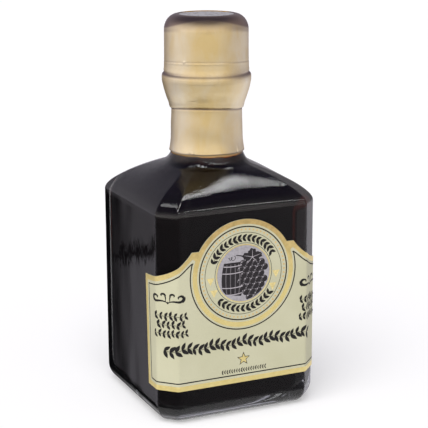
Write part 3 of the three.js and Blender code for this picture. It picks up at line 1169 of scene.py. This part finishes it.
# The object's own mesh is one dot, which is set round a circle
def dotRingTree():
    tree, given, result = newTree("ring of dots", [
        ("Count", "Int", 60), ("Radius", "Float", 0.016), ("Material", "Material", None),
    ])
    circle = linkedNode(tree, "GeometryNodeMeshCircle", {"Vertices": given["Count"], "Radius": given["Radius"]})
    links = {"Points": circle.outputs["Mesh"], "Instance": given["Geometry"]}
    placed = linkedNode(tree, "GeometryNodeInstanceOnPoints", links)
    finishTree(tree, placed.outputs["Instances"], given["Material"], result)
    return tree


# Runs a tree on a motif and returns the points in millimetres and the faces of what it made
def grown(name, motif, tree, values):
    points, faces = motif
    mesh = bpy.data.meshes.new(name)
    mesh.from_pydata((np.asarray(points) * mm).tolist(), [], faces)
    base = bpy.data.objects.new(name, mesh)
    scene.collection.objects.link(base)
    modifier = base.modifiers.new("nodes", "NODES")
    modifier.node_group = tree
    for item in tree.interface.items_tree:
        if item.in_out == "INPUT" and item.name in values:
            modifier[item.identifier] = values[item.name]
    evaluated = base.evaluated_get(bpy.context.evaluated_depsgraph_get())
    made = bpy.data.meshes.new_from_object(evaluated)
    found = np.array([v.co for v in made.vertices]) / mm
    polygons = [tuple(p.vertices) for p in made.polygons]
    bpy.data.objects.remove(base)
    bpy.data.meshes.remove(mesh)
    bpy.data.meshes.remove(made)
    return found, polygons


# A closed plate from one outline, its underside at 0
def flatMotif(loop):
    count = len(loop)
    points = np.concatenate([np.column_stack([loop, np.zeros(count)]),
                             np.column_stack([loop, np.full(count, ink["film"] + ink["into"])])])
    faces = [tuple(range(count - 1, -1, -1)), tuple(range(count, 2 * count))]
    faces += [(k, (k + 1) % count, count + (k + 1) % count, count + k) for k in range(count)]
    return points, faces


# A leaf from its stalk at 0 along +X
def leafMotif(length, width):
    t = np.linspace(0, 1, 9)
    half = width / 2 * np.sin(math.pi * t**0.8) ** 0.9
    upper = np.column_stack([t * length, half])
    lower = np.column_stack([t * length, -half])[1:-1][::-1]
    loop = np.concatenate([upper, lower])
    return flatMotif(loop[::-1] if signedArea(loop) < 0 else loop)


# Lays what a tree made on the paper, by a function from its own x and y to s and z
def laidOn(name, made, place, layer, material):
    points, faces = made
    s, z = place(points[:, 0], points[:, 1])
    points, faces = cutAtBends(np.column_stack([s, z, inkFoot(layer) + points[:, 2]]), faces)
    return meshPiece(name, wrapped(*points.T), faces, material, 40)


# Cuts flat faces where the paper bends, so that they follow it
def cutAtBends(points, faces):
    work = bmesh.new()
    corners = [work.verts.new(p) for p in points]
    for face in faces:
        work.faces.new([corners[k] for k in face])
    for column in bendColumns(points[:, 0].min(), points[:, 0].max()):
        every = [*work.verts, *work.edges, *work.faces]
        bmesh.ops.bisect_plane(work, geom=every, dist=1e-4, plane_co=(column, 0, 0), plane_no=(1, 0, 0))
    work.verts.index_update()
    cutPoints = np.array([v.co for v in work.verts])
    cutFaces = [tuple(v.index for v in face.verts) for face in work.faces]
    work.free()
    return cutPoints, cutFaces


garlands = {
    "main": {"at": (-2.5, 28.35), "Length": 56.0, "Pairs": 27, "Wave Height": 0.55, "Waves": 5.0,
             "Lean": 0.85, "leaf": (3.0, 1.35), "Stem Width": 0.42},
    "foot": {"at": (0.0, 17.75), "Length": 17.0, "Pairs": 19, "Wave Height": 0.0, "Waves": 1.0,
             "Lean": 1.0, "leaf": (1.05, 0.4), "Stem Width": 0.1},
    "rows": {"away": 28.3, "heights": (41.0, 37.8, 34.5), "lengths": (11.0, 9.2, 11.6), "Wave Height": 0.15,
             "Waves": 2.0, "Lean": 1.0, "leaf": (1.9, 0.95), "Stem Width": 0.36, "spacing": 1.45},
    "bandTop": {"from": 158, "to": 34, "Lean": 0.7, "leaf": (2.3, 1.1), "Stem Width": 0.3, "spacing": 1.75},
    "bandFoot": {"from": 222, "to": 318, "Lean": 0.7, "leaf": (2.3, 1.1), "Stem Width": 0.3, "spacing": 1.75},
}


def makeGarlands(black):
    tree = garlandTree()
    pieces = []

    def garland(name, settings, place, length, pairs, seed):
        values = {"Length": length * mm, "Pairs": pairs, "Seed": seed, "Material": black,
                  "Wave Height": settings.get("Wave Height", 0.0) * mm, "Waves": settings.get("Waves", 1.0),
                  "Leaf Size": 1.0, "Lean": settings["Lean"], "Stem Width": settings["Stem Width"] * mm,
                  "Stem Height": ink["film"] * mm}
        made = grown(name, leafMotif(*settings["leaf"]), tree, values)
        pieces.append(laidOn(name, made, place, 1, black))

    for key, seed in (("main", 2), ("foot", 3)):
        g = garlands[key]
        at = g["at"]
        garland(f"print_garland_{key}", g, lambda x, y, at=at: (x + at[0], y + at[1]),
                g["Length"], g["Pairs"], seed)
    rows = garlands["rows"]
    for side in (-1, 1):
        for k, (z, length) in enumerate(zip(rows["heights"], rows["lengths"])):
            pairs = int(length / rows["spacing"])
            garland(f"print_row_{'left' if side < 0 else 'right'}_{k}", rows,
                    lambda x, y, side=side, z=z: (x + side * rows["away"], y + z), length, pairs, 10 + k)
    for key in ("bandTop", "bandFoot"):
        g = garlands[key]
        start, end = math.radians(g["from"]), math.radians(g["to"])
        radius = medallion["bandMiddle"]
        length = abs(end - start) * radius
        facing = 1 if end < start else -1
        middle = (start + end) / 2

        def onBand(x, y, middle=middle, facing=facing, radius=radius):
            turn = middle - facing * x / radius
            reach = radius + facing * y
            return reach * np.cos(turn), label["medallion"] + reach * np.sin(turn)

        garland(f"print_{key}", g, onBand, length, int(length / g["spacing"]), 20)
    return pieces


def makeDots(gold):
    radius, count, size = medallion["dots"]
    dot = flatMotif(disc((0, 0), size, 10))
    made = grown("print_dots", dot, dotRingTree(), {"Count": count, "Radius": radius * mm, "Material": gold})
    return laidOn("print_dots", made, lambda x, y: (x, y + label["medallion"]), 1, gold)


# The picture in the round middle: a bunch of grapes with a leaf beside a small barrel
picture = {
    "berry": 1.3,
    "rows": (4, 5, 4, 5, 4, 3, 2),
    "bunchTop": (3.4, 3.6),
    "leaf": (3.4, 5.6, 4.3),
    "barrel": (-4.3, -1.9, 4.3, 6.3),
    "hoops": (-0.82, -0.42, 0.42, 0.82),
    "staves": (-0.62, -0.2, 0.25, 0.66),
}


def crescent(centre, radius, heading, spread):
    outer = arcAround(centre, radius, heading - spread, heading + spread, 12)
    away = np.array([math.cos(heading + math.pi), math.sin(heading + math.pi)])
    turn = spread * 0.85
    inner = arcAround(centre + 0.3 * radius * away, radius * 0.9, heading + turn, heading - turn, 12)
    return np.concatenate([outer, inner])


def drawGrapes(layers, centre):
    size = picture["berry"]
    for row, count in enumerate(picture["rows"]):
        for k in range(count):
            x = picture["bunchTop"][0] + (k - (count - 1) / 2) * size * 1.86
            y = picture["bunchTop"][1] - row * size * 1.62
            at = centre + [x + 0.12 * math.sin(5 * k + row), y + 0.1 * math.cos(3 * k + row)]
            layers["dark"].append(disc(at, size, 22))
            layers["middle"].append(crescent(at, size * 0.82, 2.3, 1.3))
            layers["light"].append(disc(at + np.array([-0.38, 0.4]) * size, size * 0.17, 8))


# The vine leaf with its veins, the stalk and a curling tendril
def drawVine(layers, centre):
    x, y, reach = picture["leaf"]
    turns = np.linspace(0, 2 * math.pi, 90, endpoint=False)
    lobes = 0.64 + 0.30 * np.abs(np.cos(2.5 * (turns - 2 * eighth))) + 0.05 * np.cos(15 * turns)
    leaf = np.column_stack([x + reach * lobes * np.cos(turns), y + reach * 0.8 * lobes * np.sin(turns)])
    layers["dark"].append(heldIn(leaf + centre, centre, medallion["picture"] - 0.5))
    stem = np.array([x, y])
    for k in range(5):
        turn = 2 * eighth + k * 2 * math.pi / 5
        tip = np.array([x + reach * 0.78 * math.cos(turn), y + reach * 0.62 * math.sin(turn)])
        vein = bezier(stem, (stem + tip) / 2 + [0.15, 0.1], tip, 8) + centre
        layers["light"] += stroke(vein, np.linspace(0.2, 0.07, len(vein)))[0]
    stalk = bezier(np.array([2.6, 4.6]), np.array([0.2, 6.6]), np.array([-2.9, 6.9]), 20) + centre
    layers["dark"] += stroke(stalk, np.linspace(0.7, 0.3, len(stalk)))[0]
    t = np.linspace(0, 1, 70)
    curlX = -3.6 - 2.3 * t + 0.75 * np.sin(14 * t) * (1 - t)
    curl = np.column_stack([curlX, 5.9 + 0.75 * np.cos(14 * t) * (1 - 0.5 * t)])
    layers["dark"] += stroke(curl + centre, 0.2)[0]


# Half the barrel's width at a share of its half height
def barrelHalf(share):
    return picture["barrel"][2] * (1 - 0.22 * share**2)


def drawBarrel(layers, centre):
    x, y, _, height = picture["barrel"]
    t = np.linspace(-1, 1, 25)
    edge = np.column_stack([barrelHalf(t), height * t])
    outline = np.concatenate([edge, (edge * [-1, 1])[::-1]])
    layers["dark"].append(outline + centre + [x, y])
    across = np.linspace(-1, 1, 24)
    for share in picture["hoops"]:
        reach = barrelHalf(share) - 0.12
        hoop = np.column_stack([np.linspace(-reach, reach, 24), share * height - 0.35 * (1 - across**2)])
        layers["light"] += stroke(hoop + centre + [x, y], 0.3)[0]
    for share in picture["staves"]:
        stave = np.column_stack([barrelHalf(t * 0.9) * share, height * t * 0.9])
        layers["middle"] += stroke(stave + centre + [x, y], 0.34)[0]


# A loop drawn in to a circle where it reaches past it
def heldIn(loop, centre, radius):
    away = np.linalg.norm(loop - centre, axis=1)
    return centre + (loop - centre) * np.minimum(1, radius / np.maximum(away, 1e-6))[:, None]


def makePicture(ground, dark, middle, light):
    centre = np.array([0, label["medallion"]])
    pieces = [printed("print_picture_ground", [disc(centre, medallion["picture"], 110)], [], 1, ground)]
    layers = {"dark": [], "middle": [], "light": []}
    for draw in (drawGrapes, drawVine, drawBarrel):
        draw(layers, centre)
    for layer, (name, tone) in enumerate(zip(layers, (dark, middle, light)), 2):
        loops = [heldIn(loop, centre, medallion["picture"] - 0.35) for loop in layers[name]]
        pieces.append(printed(f"print_picture_{name}", loops, [], layer, tone))
    return pieces


# Materials
def clearGlass():
    material, tree, shader = newMaterial(
        "clear glass", Base_Color=(0.97, 0.985, 0.98, 1), Roughness=0.0, IOR=1.5, Transmission_Weight=1.0
    )
    place = inMillimetres(tree)
    height = splitXYZ(tree, place)["Z"]
    rise, fall = bottle["grainZone"]
    onShoulder = times(tree, mapped(tree, height, 0, 1, *rise), mapped(tree, height, 1, 0, *fall))
    grain = noiseOver(tree, place, 1.1, 3.0, 0.75)
    slow = noiseOver(tree, inMillimetres(tree, (0.28, 0.28, 0.09)), 1.0, 2.0, 0.5)
    relief = maths(tree, "ADD", times(tree, times(tree, grain, onShoulder), 0.48), times(tree, slow, 0.015))
    bumped(tree, shader, relief, 0.35, bottle["grain"] * mm * 20)
    body = addNode(tree, "ShaderNodeVolumeAbsorption")
    setInputs(body, Color=(0.55, 0.57, 0.6, 1), Density=bottle["tint"])
    tree.links.new(body.outputs["Volume"], tree.nodes["Material Output"].inputs["Volume"])
    return material


def darkVinegar():
    material, tree, shader = newMaterial("dark vinegar", Roughness=0.2, Specular_IOR_Level=0.02)
    height = splitXYZ(tree, inMillimetres(tree))["Z"]
    patchy = noiseOver(tree, inMillimetres(tree, (1, 1, 0.35)), 0.9, 4.0, 0.6)
    # Painted light shining through the vinegar: red-brown near its top, in patches
    paintedGlowNearTop = times(tree, mapped(tree, height, 0, 1, *vinegar["paintedGlowAbove"]), mapped(tree, patchy, 0.1, 1.0))
    tone = mixedColour(tree, paintedGlowNearTop, (0.0035, 0.0022, 0.0026), (0.06, 0.01, 0.004))
    # Painted light shining through the vinegar at its marked upright corners
    coloured(tree, shader, mixedColour(tree, attributeOf(tree, "paintedGlowThrough"), tone, (0.075, 0.009, 0.004)))
    return material


def satinFilm():
    material, tree, shader = newMaterial("champagne film", Metallic=1.0)
    place = inMillimetres(tree)
    parts = splitXYZ(tree, place)
    cloudy = noiseOver(tree, inMillimetres(tree, (1, 1, 0.5)), 0.16, 4.0, 0.55, 0.4)
    # Painted sheen: three broad lighter stretches at fixed bearings round the film
    bearing = maths(tree, "SUBTRACT", maths(tree, "ARCTAN2", parts["Y"], parts["X"]), math.radians(-108))
    lobes = maths(tree, "COSINE", times(tree, bearing, 3.0))
    share = maths(tree, "ADD", times(tree, lobes, 0.3), mapped(tree, cloudy, 0.3, 0.9, 0.3, 0.7))
    tone = mixedColour(tree, share, (0.95, 0.86, 0.70), (0.89, 0.69, 0.34))
    # Painted shade and a painted warm reflection, mixed into the film's tone
    for name, other in (("paintedShade", (0.25, 0.175, 0.17)), ("paintedWarmReflection", (1.0, 0.6, 0.14))):
        tone = mixedColour(tree, attributeOf(tree, name), tone, other)
    coloured(tree, shader, tone)
    rough = mapped(tree, noiseOver(tree, place, 0.5, 3.0), 0.93, 1.07)
    smooth = mapped(tree, parts["Z"], 0.46, 0.36, *sleeve["glossZone"])
    tree.links.new(times(tree, smooth, rough), shader.inputs["Roughness"])
    bumped(tree, shader, noiseOver(tree, place, 3.5, 2.0), 0.08, 0.00005)
    return material


def discFilm():
    material, tree, shader = newMaterial("glossy pale film", Metallic=0.25, Roughness=0.16)
    cloudy = noiseOver(tree, inMillimetres(tree, (1, 0.5, 1)), 0.4, 4.0, 0.6, 0.6)
    marks = mapped(tree, cloudy, 0, 1, 0.5, 0.62)
    coloured(tree, shader, mixedColour(tree, marks, (0.40, 0.40, 0.42), (0.13, 0.125, 0.13)))
    bumped(tree, shader, noiseOver(tree, inMillimetres(tree), 0.8, 3.0), 0.3, 0.0001)
    return material


def hemFilm():
    material, tree, shader = newMaterial("hem film", Metallic=0.35, Roughness=0.16, Coat_Weight=0.5)
    place = inMillimetres(tree)
    # Painted highlight: paler towards the top of the hem
    rise = mapped(tree, splitXYZ(tree, place)["Z"], 0, 1, *hem["paintedHighlightZone"])
    coloured(tree, shader, mixedColour(tree, rise, (0.40, 0.13, 0.03), (0.50, 0.33, 0.13)))
    bumped(tree, shader, noiseOver(tree, place, 1.6, 3.0), 0.3, 0.0001)
    return material


def labelPaper():
    material, tree, shader = newMaterial("cream label paper", Roughness=0.55, Specular_IOR_Level=0.35)
    fibres = noiseOver(tree, inMillimetres(tree, (1, 1, 1.6)), 2.2, 5.0, 0.65)
    cloud = mapped(tree, noiseOver(tree, inMillimetres(tree), 0.07, 2.0), 0, 1)
    tone = mixedColour(tree, cloud, (0.50, 0.49, 0.335), (0.535, 0.525, 0.37))
    coloured(tree, shader, mixedColour(tree, mapped(tree, fibres, 0, 0.25), tone, (0.46, 0.45, 0.30)))
    bumped(tree, shader, fibres, 0.15, 0.00005)
    return material


def inked(name, tone, roughness=0.45, metallic=0.0, variation=0.12):
    material, tree, shader = newMaterial(name, Roughness=roughness, Metallic=metallic, Specular_IOR_Level=0.25)
    place = inMillimetres(tree)
    speckle = mapped(tree, noiseOver(tree, place, 1.2, 4.0, 0.6), 0, 1)
    tones = [tuple(min(c * (1 + change), 1) for c in tone) for change in (-variation, variation)]
    coloured(tree, shader, mixedColour(tree, speckle, *tones))
    bumped(tree, shader, noiseOver(tree, place, 5.0, 2.0), 0.1, 0.00003)
    return material


def goldInk():
    material, tree, shader = newMaterial("gold foil ink", Metallic=0.55, Roughness=0.36)
    place = inMillimetres(tree)
    cloud = mapped(tree, noiseOver(tree, place, 0.35, 4.0, 0.6), 0, 1)
    low = mixedColour(tree, cloud, (0.86, 0.71, 0.28), (0.93, 0.78, 0.34))
    high = mixedColour(tree, cloud, (0.52, 0.37, 0.14), (0.74, 0.54, 0.22))
    rise = mapped(tree, splitXYZ(tree, place)["Z"], 0, 1, *label["paleGoldBelow"])
    coloured(tree, shader, mixedColour(tree, rise, low, high))
    bumped(tree, shader, noiseOver(tree, place, 1.1, 3.0), 0.15, 0.00006)
    return material


def stopperCork():
    material, tree, shader = newMaterial("stopper", Roughness=0.6)
    speckle = noiseOver(tree, inMillimetres(tree), 0.8, 5.0, 0.7)
    tone = mixedColour(tree, mapped(tree, speckle, 0, 1), (0.05, 0.035, 0.028), (0.11, 0.08, 0.06))
    coloured(tree, shader, tone)
    bumped(tree, shader, speckle, 0.3, 0.0001)
    return material


# Marks the vinegar's upright corners for a painted glow of light shining through it
def markPaintedGlow(piece):
    mesh = piece.data
    points = np.array([v.co for v in mesh.vertices]) / mm
    reach = np.abs(points[:, 0]) + np.abs(points[:, 1])
    inwards, spread = vinegar["paintedGlowCorner"]
    corner = bump(reach, 2 * inside["half"] - inside["chamfer"] - inwards, spread)
    amount = 0.5 * corner * between(points[:, 2], *vinegar["paintedGlowZone"])
    marked(piece, "paintedGlowThrough", amount * (points[:, 0] * points[:, 1] < 0))


def makeEverything():
    glass = makeGlass(clearGlass())
    print("glass body made:", len(glass.data.polygons), "faces")
    fill = makeVinegar(darkVinegar())
    markPaintedGlow(fill)
    film = satinFilm()
    skin = makeSleeve(film)
    hemPiece = makeHem(hemFilm())
    cover = makeTopDisc(discFilm())
    print("vinegar and sleeve made")
    paper = wrappedPlate("label_paper", [labelLoop()], [], label["back"], label["front"], labelPaper())
    gold = goldInk()
    black = inked("black ink", (0.014, 0.013, 0.013), 0.6)
    prints = labelPrint(gold, inked("pale gold ink", (0.74, 0.62, 0.28), 0.4, 0.2), black)
    prints += makeGarlands(black)
    prints.append(makeDots(inked("dot gold ink", (0.66, 0.42, 0.14), 0.4, 0.2)))
    prints += makePicture(
        inked("lilac grey ink", (0.345, 0.33, 0.355)), inked("engraving dark", (0.022, 0.019, 0.022), 0.6),
        inked("engraving middle", (0.13, 0.12, 0.13)), inked("engraving light", (0.44, 0.41, 0.44)),
    )
    print("label made with", len(prints), "layers of print")
    for piece, node, slotName in (
        (glass, "glass_bottle", "glass"), (fill, "vinegar", "vinegar"), (skin, "capsule", "sleeve_film"),
        (cover, "capsule_disc", "sleeve_disc"), (paper, "label", "label_paper"),
    ):
        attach(piece, "root")
        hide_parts(node)
    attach(hemPiece, "root")
    for piece in prints:
        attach(piece, "root")
    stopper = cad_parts["stopper"]
    stopper.data.materials.clear()
    stopper.data.materials.append(stopperCork())


makeEverything()


# The studio: a pale floor, a dim graded room and soft lights
studio = {
    "floorHalf": 5.0,
    "floorTone": (0.7, 0.7, 0.7),
    "floorGlow": 0.34,
    "aim": (0.0, 0.0, 75.0),
    "sun": {"towards": (-38, 60), "energy": 2.2, "spread": 50},
    # Each strip's ends as directions, its width in metres and its power
    "strips": {
        "shoulder strip": ((-0.30, -0.33, 0.9), (0.54, 0.30, 0.82), 0.085, 3.2),
        "corner strip": ((-0.31, -0.30, 0.9), (-0.24, 0.36, 0.9), 0.08, 0.5),
        "front strip": ((-0.48, -0.56, 0.68), (0.80, -0.56, 0.62), 0.04, 0.9),
    },
}
# The room round the bottle, which it mirrors. A zone is where one tone goes over into the next.
room = {
    "tones": {
        "upperWall": (0.30, 0.285, 0.315),
        "lowerWall": (0.46, 0.44, 0.49),
        "leftWall": (0.06, 0.055, 0.06),
        "post": (0.012, 0.012, 0.014),
        "front": (0.10, 0.095, 0.10),
        "behind": (0.44, 0.42, 0.46),
        "right": (0.85, 0.83, 0.88),
        "table": (0.95, 0.94, 0.95),
        "levelFront": (1.12, 1.08, 1.05),
        "levelBehind": (0.46, 0.44, 0.49),
        "levelRight": (0.42, 0.39, 0.41),
        "levelLeft": (1.2, 1.14, 1.1),
        "overhead": (0.095, 0.09, 0.15),
    },
    "zones": {
        "behind": (-0.3, 0.9),
        "right": (0.3, 0.95),
        "post": (-0.386, -0.366),
        "fringe": (0.002, 0.011),
        "fringeEnd": (-0.30, -0.28),
        "wallEdge": (-0.003, 0.003),
        "wall": (0.72, 0.80),
        "leftWall": (-0.42, -0.375),
        "table": (-0.56, -0.46),
        "levelRight": (0.25, 0.85),
        "levelLeft": (-0.95, -0.55),
        "horizon": (-0.19, -0.11),
        "overhead": (0.45, 0.88),
    },
    "leftShare": 0.45,  # how far the wall turns to its left tone
    "edgeDrop": 0.32,  # slope down to the wall's lighter half
    "strands": (900.0, 60.0),
    "ragged": 0.045,
    "backward": 0.22,
}


def makeFloor():
    half = studio["floorHalf"] / mm
    points = [(-half, -half, 0), (half, -half, 0), (half, half, 0), (-half, half, 0)]
    material, _, _ = newMaterial(
        "pale floor", Base_Color=(*studio["floorTone"], 1), Roughness=1.0, Specular_IOR_Level=0.0,
        Emission_Color=(1, 1, 1, 1), Emission_Strength=studio["floorGlow"],
    )
    floor = meshPiece("floor", points, [(0, 1, 2, 3)], material)
    floor.visible_glossy = False


def makeRoom():
    world = bpy.data.worlds.new("studio room")
    scene.world = world
    world.use_nodes = True
    tree = world.node_tree
    x, y, z = splitXYZ(tree, addNode(tree, "ShaderNodeTexCoord").outputs["Generated"])
    tones, zones = room["tones"], room["zones"]

    def rising(value, zone):
        return mapped(tree, value, 0, 1, *zones[zone])

    def falling(value, zone):
        return mapped(tree, value, 1, 0, *zones[zone])

    behind, rightward = rising(y, "behind"), rising(x, "right")
    # The far wall, as slopes from the bottle: a dark post, and a fringe between its dim upper
    # half and its lighter lower one
    depth = maths(tree, "MAXIMUM", y, 0.05)
    across, upward = maths(tree, "DIVIDE", x, depth), maths(tree, "DIVIDE", z, depth)
    post = rising(across, "post")
    strands = joinXYZ(tree, *[times(tree, slope, pace) for slope, pace in zip((across, upward), room["strands"])])
    ragged = times(tree, noiseOver(tree, strands, 1.0, 3.0, 0.65), room["ragged"])
    edge = maths(tree, "ADD", maths(tree, "SUBTRACT", upward, ragged), room["edgeDrop"])
    fringe = times(tree, falling(maths(tree, "ABSOLUTE", edge), "fringe"), falling(across, "fringeEnd"))
    wall = mixedColour(tree, rising(edge, "wallEdge"), tones["lowerWall"], tones["upperWall"])
    wall = mixedColour(tree, mapped(tree, across, 0, room["leftShare"], *zones["leftWall"]), wall, tones["leftWall"])
    wall = mixedColour(tree, maths(tree, "MAXIMUM", post, fringe), wall, tones["post"])
    # Below the horizon it is dark in front, with the white table underneath
    below = mixedColour(tree, behind, tones["front"], tones["behind"])
    below = mixedColour(tree, rightward, below, tones["right"])
    below = mixedColour(tree, rising(y, "wall"), below, wall)
    below = mixedColour(tree, falling(z, "table"), below, tones["table"])
    level = mixedColour(tree, behind, tones["levelFront"], tones["levelBehind"])
    level = mixedColour(tree, rising(x, "levelRight"), level, tones["levelRight"])
    level = mixedColour(tree, falling(x, "levelLeft"), level, tones["levelLeft"])
    low = mixedColour(tree, rising(z, "horizon"), below, level)
    # It is dark overhead and above the wall behind
    backward = times(tree, maths(tree, "MAXIMUM", y, 0.0), room["backward"])
    tone = mixedColour(tree, rising(maths(tree, "ADD", z, backward), "overhead"), low, tones["overhead"])
    tree.links.new(tone, tree.nodes["Background"].inputs["Color"])
    tree.nodes["Background"].inputs["Strength"].default_value = 1.0


# A long light between two directions, a metre from the bottle, that only the glass mirrors
def stripLight(name, start, end, width, power, shown):
    data = bpy.data.lights.new(name, "AREA")
    data.shape = "RECTANGLE"
    start, end = Vector(start).normalized(), Vector(end).normalized()
    toward = (start + end).normalized()
    along = (end - start).normalized()
    side = toward.cross(along).normalized()
    data.size, data.size_y = (end - start).length, width
    data.energy = power
    lamp = bpy.data.objects.new(name, data)
    lamp.rotation_mode = "QUATERNION"
    lamp.rotation_quaternion = Matrix((side.cross(toward), side, toward)).transposed().to_quaternion()
    lamp.location = Vector(studio["aim"]) * mm + toward
    lamp.light_linking.receiver_collection = shown
    scene.collection.objects.link(lamp)


def makeLights():
    settings = studio["sun"]
    sun = bpy.data.lights.new("sky light", "SUN")
    sun.energy = settings["energy"]
    sun.angle = math.radians(settings["spread"])
    lamp = bpy.data.objects.new("sky light", sun)
    lamp.rotation_mode = "QUATERNION"
    lamp.rotation_quaternion = directionTo(*settings["towards"]).to_track_quat("Z", "Y")
    lamp.visible_glossy = False
    scene.collection.objects.link(lamp)
    shown = bpy.data.collections.new("lit by strips")
    shown.objects.link(bpy.data.objects["glass_body"])
    for name, (start, end, width, power) in studio["strips"].items():
        stripLight(name, start, end, width, power, shown)


makeFloor()
makeRoom()
makeLights()
print("studio made")
